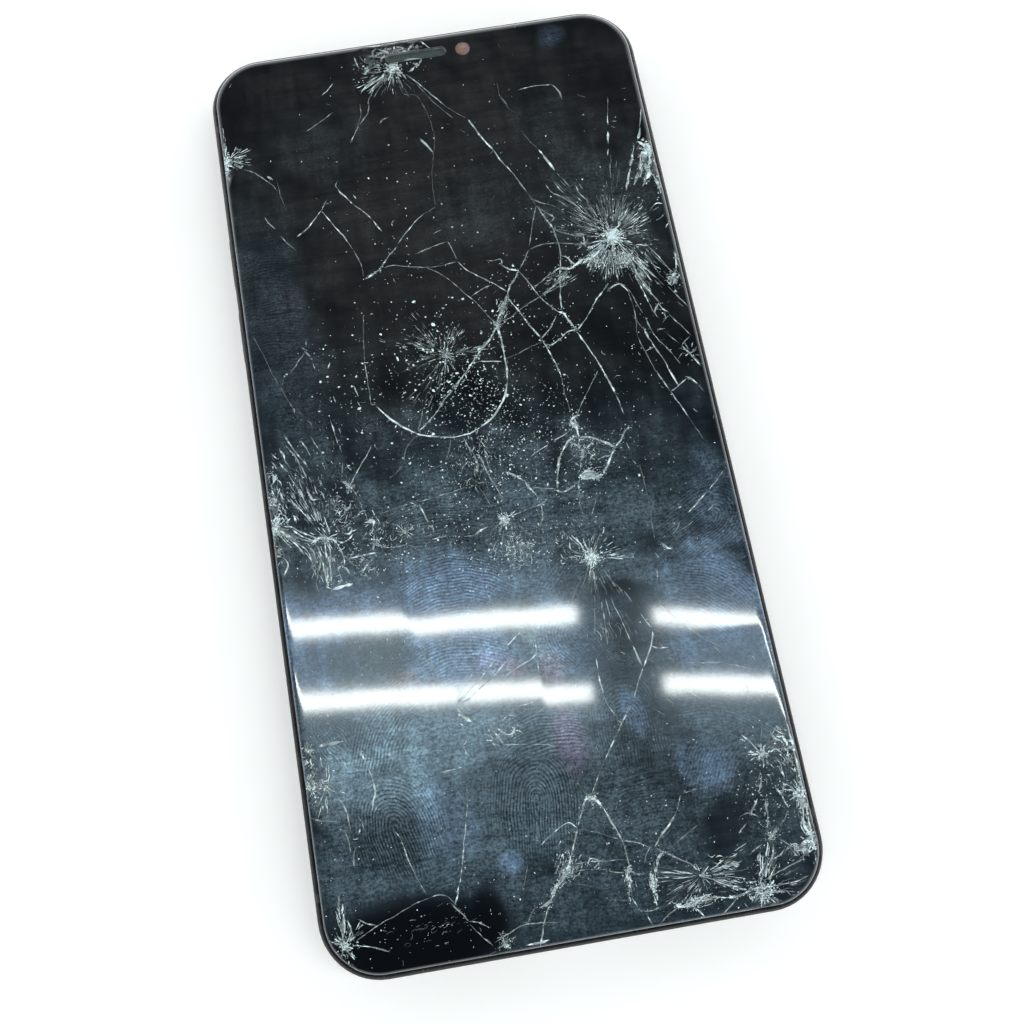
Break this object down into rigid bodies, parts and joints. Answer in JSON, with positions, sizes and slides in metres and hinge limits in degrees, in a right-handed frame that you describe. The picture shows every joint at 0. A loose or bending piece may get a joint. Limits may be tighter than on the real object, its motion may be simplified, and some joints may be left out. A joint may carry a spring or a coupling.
{
  "type": "shattered screen phone",
  "caption": "Handheld touch-screen phone with a smashed, chipped front glass, side buttons, card tray and charge port; lies flat on its back.",
  "frame": {"origin": "centre of the rear cover's outer face, which the phone rests on", "axes": "+X to the right seen from the front, +Y towards the earpiece end, +Z out through the front glass"},
  "size_m": [0.0782, 0.1582, 0.008],
  "materials": {
    "front_glass": "cracked gloss",
    "bezel": "satin",
    "display": "gloss",
    "steel": "satin",
    "seal": "matte",
    "flex": "gloss",
    "mesh": "woven",
    "black_part": "matte",
    "lens_ring": "satin",
    "band": "satin",
    "antenna": "satin",
    "rear_glass": "gloss",
    "rear_ring": "satin",
    "lens": "gloss",
    "flash": "frosted",
    "led": "gloss",
    "battery": "satin",
    "tape": "matte",
    "board": "gloss",
    "can": "satin",
    "screw": "satin",
    "coil": "lacquered",
    "ferrite": "matte",
    "card": "satin",
    "ceramic_part": "gloss"
  },
  "bodies": {
    "phone": {"cover_glass": "front_glass", "display_bezel": "bezel", "display_panel": "display", "display_backplate": "steel", "front_seal": "seal", "display_flex": "flex", "touch_flex": "flex", "earpiece_mesh": "mesh", "earpiece_speaker": "black_part", "front_camera": "lens_ring", "proximity_sensor": "black_part", "mid_frame": "band", "antenna_lines": "antenna", "rear_cover": "rear_glass", "rear_seal": "seal", "camera_ring": "rear_ring", "camera_window": "lens", "main_camera": "black_part", "wide_camera": "black_part", "flash_lens": "flash", "flash_led": "led", "battery": "battery", "battery_tape": "tape", "battery_flex": "flex", "main_board": "board", "board_shields": "can", "board_connectors": "black_part", "connector_cover": "steel", "board_screws": "screw", "antenna_cable": "black_part", "sim_reader": "can", "charging_flex": "flex", "charge_port": "steel", "bottom_screws": "screw", "speaker_mesh": "mesh", "microphone_mesh": "mesh", "bottom_microphone": "can", "loudspeaker": "black_part", "vibration_motor": "steel", "wireless_coil": "coil", "coil_shield": "ferrite", "button_switches": "ceramic_part", "volume_flex": "flex", "power_flex": "flex"},
    "power_button": {"power_button": "band"},
    "volume_up_button": {"volume_up_button": "band"},
    "volume_down_button": {"volume_down_button": "band"},
    "sim_tray": {"sim_tray": "band", "sim_card": "card"}
  },
  "joints": [
    {"name": "power_press", "type": "slide", "parent": "phone", "child": "power_button", "axis": [-1, 0, 0], "range_m": [0, 0.00025], "stiffness_N_per_m": 6000},
    {"name": "volume_up_press", "type": "slide", "parent": "phone", "child": "volume_up_button", "axis": [1, 0, 0], "range_m": [0, 0.00025], "stiffness_N_per_m": 6000},
    {"name": "volume_down_press", "type": "slide", "parent": "phone", "child": "volume_down_button", "axis": [1, 0, 0], "range_m": [0, 0.00025], "stiffness_N_per_m": 6000},
    {"name": "tray_slide", "type": "slide", "parent": "phone", "child": "sim_tray", "axis": [1, 0, 0], "range_m": [0, 0.02]}
  ]
}
